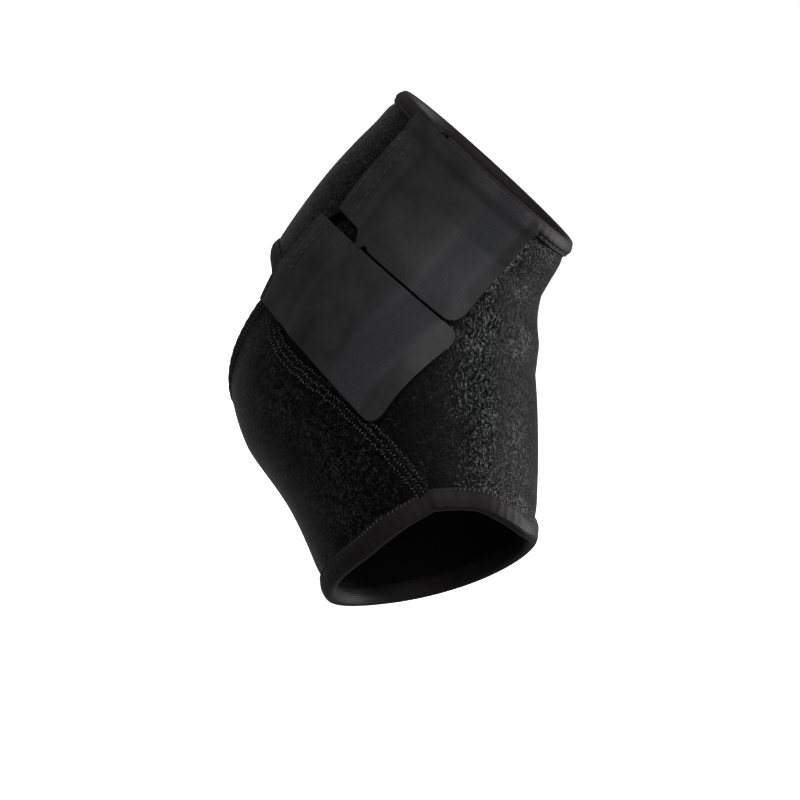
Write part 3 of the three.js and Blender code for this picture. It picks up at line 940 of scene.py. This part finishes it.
@dataclass
class ClosureTab:
    """A closing tab sewn behind the closure and laid level round the wrap toward the front.

    `top` and `bottom` are the corners of its root: the distance along the spine, the angle, and how
    much the run falls from there. Its lower edge grows to meet the tab `below`, if there is one.
    """

    shop: Workshop
    name: str
    node: str
    top: tuple[float, float, float]
    bottom: tuple[float, float, float]
    finish: Finish
    hollow_run: float
    hollow_depth: float
    length: float
    thickness: float = 1.7
    lift: float = 0.55
    corner: float = 6.0
    corner_steps: int = 12
    bevel: float = 0.55
    slit: float = 1.1
    slit_start: float = 19.5
    tear: float = 1.1
    lip: float = 0.5
    below: "ClosureTab | None" = None
    run_steps: int = 96
    width_steps: int = 44
    line_count: int = 53
    margin: float = 0.15
    ride_over: float = 1.2
    tape_rise: float = 0.85
    wave: float = 0.4
    wave_length: float = 22.0
    swell: float = 0.45
    root_dip: float = 0.5

    def level_step(self, s: Array, angle: Array, fall: Array, step: float) -> Pair:
        """Moves spots level round the wrap toward the front, falling a little."""
        form = self.shop.form

        def heading(at_s: Array, at_angle: Array) -> Array:
            """Unit direction of the run at spots."""
            normal = form.tangents(at_s, at_angle)[2]
            level = np.cross(np.array([0.0, 0.0, 1.0]), normal)
            level /= np.linalg.norm(level, axis=-1, keepdims=True)
            run = level + np.cross(level, normal) * fall[:, None]
            return run / np.linalg.norm(run, axis=-1, keepdims=True)

        half = form.moved(s, angle, heading(s, angle) * step / 2)
        return form.moved(s, angle, heading(*half) * step)

    def lines(self, across: Array) -> Pair:
        """Spots of lines along the tab, for shares across it, run by line."""
        top, bottom = np.array(self.top), np.array(self.bottom)
        start = top + (bottom - top) * across[:, None]
        s, angle, fall = start.T
        found = [(s, angle)]
        for _ in range(self.run_steps):
            s, angle = self.level_step(s, angle, fall, self.length / self.run_steps)
            found.append((s, angle))
        return np.array([f[0] for f in found]), np.array([f[1] for f in found])

    def line_at(self, lines: Pair, run: float) -> Pair:
        """The spots across the tab at a run from its root, read between its lines' points."""
        place = run / self.length * self.run_steps
        low = min(int(place), self.run_steps - 1)
        part = place - low
        return tuple(spots[low] * (1 - part) + spots[low + 1] * part for spots in lines)

    def growth(self, points: Array, run: Array) -> Array:
        """How far the lower edge grows to meet the tab below, but for the slit between them.

        Args:
            points: The lower edge before it grows.
            run: Length run from the root at each.

        Returns:
            The growth at each point.
        """
        if self.below is None:
            return np.zeros_like(run)
        s, angle = self.below.lines(np.zeros(1))
        edge = self.shop.form.surface(s[:, 0], angle[:, 0])
        apart = np.linalg.norm(points[:, None] - edge[None], axis=-1).min(axis=1)
        past = run - self.slit_start
        slit = self.slit * smooth_step(past, -0.5, 0.5)
        # The slit's root gapes a little
        tear = self.tear * hump(past, 1.2, 1.8) * (past > -0.5)
        return (apart - slit - tear) * smooth_step(past, -7.5, -2.5)

    def spots(self) -> tuple[Array, ...]:
        """Spots of the whole tab with round corners, and each one's run and share across."""
        form, corner = self.shop.form, self.corner
        fine = np.linspace(-self.margin, 1 + self.margin, self.line_count)
        lines = self.lines(fine)
        runs = np.linspace(0, self.length, self.run_steps + 1)
        ends = form.surface(*np.array([self.top, self.bottom]).T[:2])
        width = np.linalg.norm(ends[0] - ends[1])
        low_edge = np.argmin(np.abs(fine - 1))
        growth = self.growth(form.surface(*(spots[:, low_edge] for spots in lines)), runs) / width
        shares = np.linspace(0, 1, self.width_steps + 1)
        turns = np.linspace(0, math.pi / 2, self.corner_steps + 1)
        straight = runs[runs < self.length - corner - 0.5]
        rows = []
        for run in np.append(straight, self.length - corner * (1 - np.sin(turns))):
            left = min(self.length - run, corner)
            trim = (corner - math.sqrt(max(corner**2 - (corner - left) ** 2, 0))) / width
            share = trim + (1 - 2 * trim) * shares
            share = share + np.interp(run, runs, growth) * smooth_step(shares, 0.75, 1.0)
            spots = [np.interp(share, fine, line) for line in self.line_at(lines, run)]
            rows.append([*spots, np.full_like(share, run), share])
        return tuple(np.array(rows).swapaxes(0, 1))

    def height(self, s: Array, angle: Array, run: Array, share: Array) -> Array:
        """Height of the tab's face: sunk at its seam and over the closure, raised over the tapes."""
        form, lines = self.shop.form, self.shop.lines
        points = form.surface(s, angle)
        heel_end = form.surface(np.array(lines.heel_at), np.array(lines.heel_half - 180))
        distance = np.linalg.norm(points - heel_end, axis=-1)
        face = self.lift + self.thickness + self.wave * soft_noise(points, self.wave_length, 7.0)
        face += self.ride_over * (1 - smooth_step(distance, 7.5, 15.0))
        face += self.tape_rise * (1 - smooth_step(s, 5.0, 9.0))
        face -= self.hollow_depth * hump(run, self.hollow_run, 2.6)
        face += self.swell * hump(run, self.hollow_run + 6.0, 3.5)
        face -= self.root_dip * hump(run, 2.0, 1.6)
        # The slit's upper lip stands a little over its lower one
        edge = (0.6, 1.0) if self.below else (0.25, 0.0)
        past_slit = smooth_step(run, self.slit_start, self.slit_start + 6.0)
        return face + self.lip * past_slit * smooth_step(share, *edge)

    def build(self) -> None:
        """Makes the tab."""
        s, angle, run, share = self.spots()
        face = self.shop.form.skin(s, angle, self.height(s, angle, run, share))
        width = path_length(face[0])[-1]
        tab = grid_piece(self.name, face, np.stack([run, share * width], axis=-1))
        row, column = face.shape[0] // 2, face.shape[1] // 2
        outward = self.shop.form.tangents(s[row], angle[row])[2][column]
        face_toward(tab, tab.data.polygons[row * (face.shape[1] - 1) + column], outward)
        apply_modifier(tab, "SOLIDIFY", thickness=self.thickness * MM, offset=-1)
        sharp = math.radians(50)
        apply_modifier(
            tab, "BEVEL", width=self.bevel * MM, segments=3, limit_method="ANGLE", angle_limit=sharp
        )
        smooth_shaded(tab, 60)
        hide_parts(self.node)
        self.shop.finish_piece(tab, self.finish, "tab")

    @staticmethod
    def flat_area(face: Array) -> float:
        """Area of the tab's face in square metres."""
        one = np.cross(face[1:, :-1] - face[:-1, :-1], face[:-1, 1:] - face[:-1, :-1])
        two = np.cross(face[1:, :-1] - face[1:, 1:], face[:-1, 1:] - face[1:, 1:])
        return float(sum(np.linalg.norm(half, axis=-1).sum() for half in (one, two)) / 2 * MM**2)

    def sew(self, run: float, margin: float = 2.0) -> None:
        """Sews a straight row across the tab at a run from its root."""
        s, angle = self.line_at(self.lines(np.linspace(0, 1, 41)), run)
        rim = Rim.even(self.shop.form, s, angle, 1.0, 1.0)
        middle = np.full_like(rim.s, 0.5)
        height = float(self.height(rim.s, rim.angle, np.full_like(rim.s, run), middle).mean())
        row = StitchRow(f"{self.name}_row_{round(run * 10)}")
        self.shop.sew(row, rim, 0.0, height + 0.08, (margin, margin))


@dataclass
class FlatSeam:
    """Flat seam that joins the sole strap on the outer side: a low ridge under rows of looped thread."""

    shop: Workshop
    width: float = 7.0
    ridge: float = 0.6
    sunk: float = 0.25
    groove: float = 0.35
    groove_reach: float = 0.7
    start: float = 8.0
    end: float = 5.5
    body: float = 0.9
    step: float = 0.6
    strips: int = 16
    ripple: float = 0.1
    ripple_length: float = 2.2
    row_margin: float = 0.9

    def rim(self) -> Rim:
        """The middle line of the seam."""
        share = np.linspace(0, 1, 60)
        s, angle = self.shop.lines.foot_spot(np.full_like(share, self.shop.lines.first), share)
        whole = Rim.even(self.shop.form, s, angle, 1.0, self.step)
        return whole.at(np.arange(self.start, whole.run[-1] - self.end, self.step))

    def build(self) -> None:
        """Makes the ridge and the rows of thread on it."""
        rim = self.rim()
        half = self.width / 2
        insets = np.linspace(-half, half, self.strips + 1)
        share = np.abs(insets) / half
        heights = (self.ridge + self.sunk) * (1 - share**3) - self.sunk
        heights -= self.groove * hump(insets, 0.0, self.groove_reach)
        ripple = self.ripple * np.sin(rim.run * 2 * math.pi / self.ripple_length)
        grid = np.stack([rim.beside(i, h + ripple * (1 - c)) for i, h, c in zip(insets, heights, share)])
        uv = np.stack(np.broadcast_arrays(rim.run[None, :], insets[:, None]), axis=-1)
        seam = grid_piece("flat_seam", grid, uv)
        count = len(rim.s)
        middle = seam.data.polygons[self.strips // 2 * (count - 1) + count // 2]
        face_toward(seam, middle, rim.normal[count // 2])
        apply_modifier(seam, "SOLIDIFY", thickness=self.body * MM, offset=-1)
        smooth_shaded(seam, 60)
        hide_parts("side_seam")
        self.shop.finish_piece(seam, Finish.OUTER, "neoprene")
        self.lace(rim)

    def lace(self, rim: Rim) -> None:
        """Sews the seam with rows of looped thread, which stand up like beads."""
        half = self.width / 2 - self.row_margin
        for name, side in (("lower", -1.0), ("middle", 0.0), ("upper", 1.0)):
            row = StitchRow(
                f"seam_row_{name}",
                thickness=0.6,
                length=0.8,
                gap=0.65,
                swing=0.5,
                stray=0.55,
                style=StitchStyle.ZIGZAG,
            )
            height = self.ridge * (1.0 - 0.35 * abs(side))
            self.shop.sew(row, rim, side * half, height, (0.6 + 0.4 * side, 0.6))


@dataclass
class Brace:
    """The whole brace."""

    shop: Workshop
    blank: tuple[float, float] = (0.30, 0.21)

    def rims(self, step: float = 0.8) -> dict[str, Rim]:
        """The three taped rims, in equal steps."""
        form, lines = self.shop.form, self.shop.lines
        front = NeopreneWrap.front_columns
        columns = lines.columns(front, NeopreneWrap.heel_columns)
        top = lines.leg_spot(columns, np.zeros_like(columns))
        ring = np.append(columns, lines.first + 360)
        foot = lines.foot_spot(ring, np.ones_like(ring))
        heel = columns[front:]
        upper = lines.leg_spot(heel, np.ones_like(heel))
        lower_columns = np.append(heel[1:], lines.first + 360)
        lower = lines.foot_spot(lower_columns, np.zeros_like(lower_columns))
        round_heel = [np.append(above[::-1], under) for above, under in zip(upper, lower)]
        return {
            "top": Rim.even(form, *top, -1.0, step),
            "heel": Rim.even(form, *round_heel, -1.0, step),
            "foot": Rim.even(form, *foot, 1.0, step, closed=True),
        }

    def build(self) -> None:
        """Makes all pieces."""
        shop = self.shop
        wrap = NeopreneWrap(shop).build()
        rims = self.rims()
        for name, style, reach in (
            ("top", StitchStyle.STRAIGHT, 5.0),
            ("heel", StitchStyle.OVERCAST, 6.0),
            ("foot", StitchStyle.OVERCAST, 7.0),
        ):
            tape = EdgeTape(shop, f"{name}_tape", f"{name}_binding", rims[name], reach=reach)
            tape.build()
            tape.sew(style)
        FlatSeam(shop).build()
        lower = ClosureTab(
            shop,
            "lower_closing_tab",
            "lower_tab",
            top=(47.5, -105, -0.03),
            bottom=(75.0, -120, 0.05),
            finish=Finish.LOWER_TAB,
            hollow_run=20.0,
            hollow_depth=0.7,
            length=78.0,
            lip=-0.35,
        )
        upper = ClosureTab(
            shop,
            "upper_closing_tab",
            "upper_tab",
            top=(0.0, -100, 0),
            bottom=(44.0, -97, 0.03),
            finish=Finish.UPPER_TAB,
            hollow_run=13.5,
            hollow_depth=1.3,
            length=67.0,
            below=lower,
        )
        for tab in (upper, lower):
            tab.build()
            tab.sew(1.8)
            tab.sew(8.0)


@dataclass
class Studio:
    """Camera, soft lights and floor, set out from the picture's own directions."""

    azimuth: float = 38.3
    elevation: float = 5.0
    roll: float = 42.1
    distance: float = 1.5
    pixels_per_metre: float = 2570.0
    frame: float = 800.0
    sensor: float = 36.0
    origin_px: tuple[float, float] = (394.4, 271.5)

    def axes(self) -> tuple[Vector, Vector, Vector]:
        """The picture's right and up, and the direction back to the camera."""
        a, e, r = (math.radians(v) for v in (self.azimuth, self.elevation, self.roll))
        back = Vector((math.sin(a) * math.cos(e), -math.cos(a) * math.cos(e), math.sin(e)))
        right = Vector((math.cos(a), math.sin(a), 0))
        up = back.cross(right)
        return right * math.cos(r) + up * math.sin(r), up * math.cos(r) - right * math.sin(r), back

    def camera(self) -> None:
        """Sets up the camera on the photograph's line of sight."""
        right, up, back = self.axes()
        data = bpy.data.cameras.new("camera")
        data.sensor_width = self.sensor
        data.lens = self.pixels_per_metre * self.distance / self.frame * self.sensor
        data.clip_end = 50
        half = self.frame / 2
        seen = (half - self.origin_px[0]) * right - (half - self.origin_px[1]) * up
        eye = back * self.distance
        ahead = (seen / self.pixels_per_metre - eye).normalized()
        across = ahead.cross(up).normalized()
        upward = across.cross(ahead)
        camera = bpy.data.objects.new("camera", data)
        camera.matrix_world = Matrix.Translation(eye) @ Matrix((across, upward, -ahead)).transposed().to_4x4()
        bpy.context.scene.collection.objects.link(camera)
        bpy.context.scene.camera = camera

    def light(
        self, name: str, offset: tuple[float, float, float], size: tuple[float, float], power: float
    ) -> None:
        """Adds a softbox at an offset along the picture's right, up and back, facing the brace."""
        right, up, back = self.axes()
        data = bpy.data.lights.new(name, "AREA")
        data.shape = "RECTANGLE"
        data.size, data.size_y = size
        data.energy = power
        place = right * offset[0] + up * offset[1] + back * offset[2]
        lamp = bpy.data.objects.new(name, data)
        lamp.location = place
        lamp.rotation_euler = (-place).to_track_quat("-Z", "Y").to_euler()
        bpy.context.scene.collection.objects.link(lamp)

    def world(self, strength: float) -> None:
        """A white room that lights evenly."""
        world = bpy.data.worlds.new("studio")
        bpy.context.scene.world = world
        world.use_nodes = True
        tree = world.node_tree
        background = tree.nodes["Background"]
        background.inputs["Color"].default_value = (1, 1, 1, 1)
        seen = add_node(tree, "ShaderNodeLightPath").outputs["Is Camera Ray"]
        mix = add_node(tree, "ShaderNodeMapRange", inputs={"Value": seen, "To Min": strength, "To Max": 1.0})
        tree.links.new(mix.outputs[0], background.inputs["Strength"])

    def floor(self, level: float) -> None:
        """A wide pale floor."""
        bpy.ops.mesh.primitive_plane_add(size=60.0, location=(0, 0, level))
        floor = bpy.context.object
        floor.name = "studio_floor"
        material, tree = blank_material("matt_white_floor")
        inputs = {
            "Base Color": hex_colour("#fbfbfb"),
            "Roughness": 0.9,
            "Specular IOR Level": 0.1,
            "Emission Color": hex_colour("#ffffff"),
            "Emission Strength": 1.0,
        }
        end_tree(tree, inputs)
        floor.data.materials.append(material)
        # Its light is left off the brace, as with black flags beside a product
        floor.visible_diffuse = False
        floor.visible_glossy = False
        floor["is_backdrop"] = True

    def build(self, level: float) -> None:
        """Sets the stage."""
        self.camera()
        self.world(0.22)
        self.light("side_softbox", (1.0, -0.1, -0.4), (0.25, 0.7), 9.5)
        self.light("front_softbox", (0.6, 0.3, 0.9), (0.8, 0.8), 5.0)
        self.light("top_softbox", (0.2, 0.9, 0.5), (0.8, 0.5), 4.0)
        self.floor(level)
        bpy.context.scene.view_settings.view_transform = "Standard"


def main() -> None:
    """Builds the brace and its studio."""
    logging.basicConfig(level=logging.INFO, format="%(message)s")
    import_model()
    cad_box = [list(corner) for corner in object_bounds()]
    studio = Studio()
    studio.build(cad_box[0][2] - 0.002)
    form = AnkleForm()
    Brace(Workshop(form, PatternLines(form), Wardrobe())).build()


if __name__ == "__main__":
    main()
